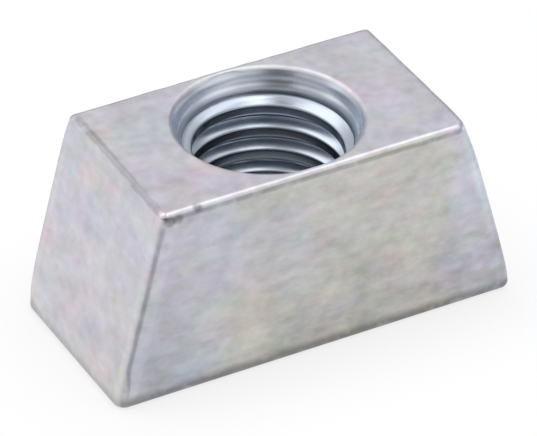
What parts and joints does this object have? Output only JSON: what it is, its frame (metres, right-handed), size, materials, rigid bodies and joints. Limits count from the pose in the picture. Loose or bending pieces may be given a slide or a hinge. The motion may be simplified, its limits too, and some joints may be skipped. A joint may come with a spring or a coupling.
{
  "type": "wedge nut",
  "caption": "Trapezoidal steel block nut with sloping flanks and an upright tapped hole, which wedges in a dovetail slot so that a threaded rod can hang from it.",
  "frame": {"origin": "middle of the wide base, on the thread's axis", "axes": "+X along the base from flank to flank, +Y across the two sawn faces, +Z along the thread from the wide base to the narrow face"},
  "size_m": [0.0252, 0.0118, 0.0121],
  "materials": {
    "zinc_plate": "bright zinc plate with a clear passivated film, satin, faintly iridescent"
  },
  "bodies": {
    "root": {"wedge_nut": "zinc_plate"}
  },
  "joints": []
}
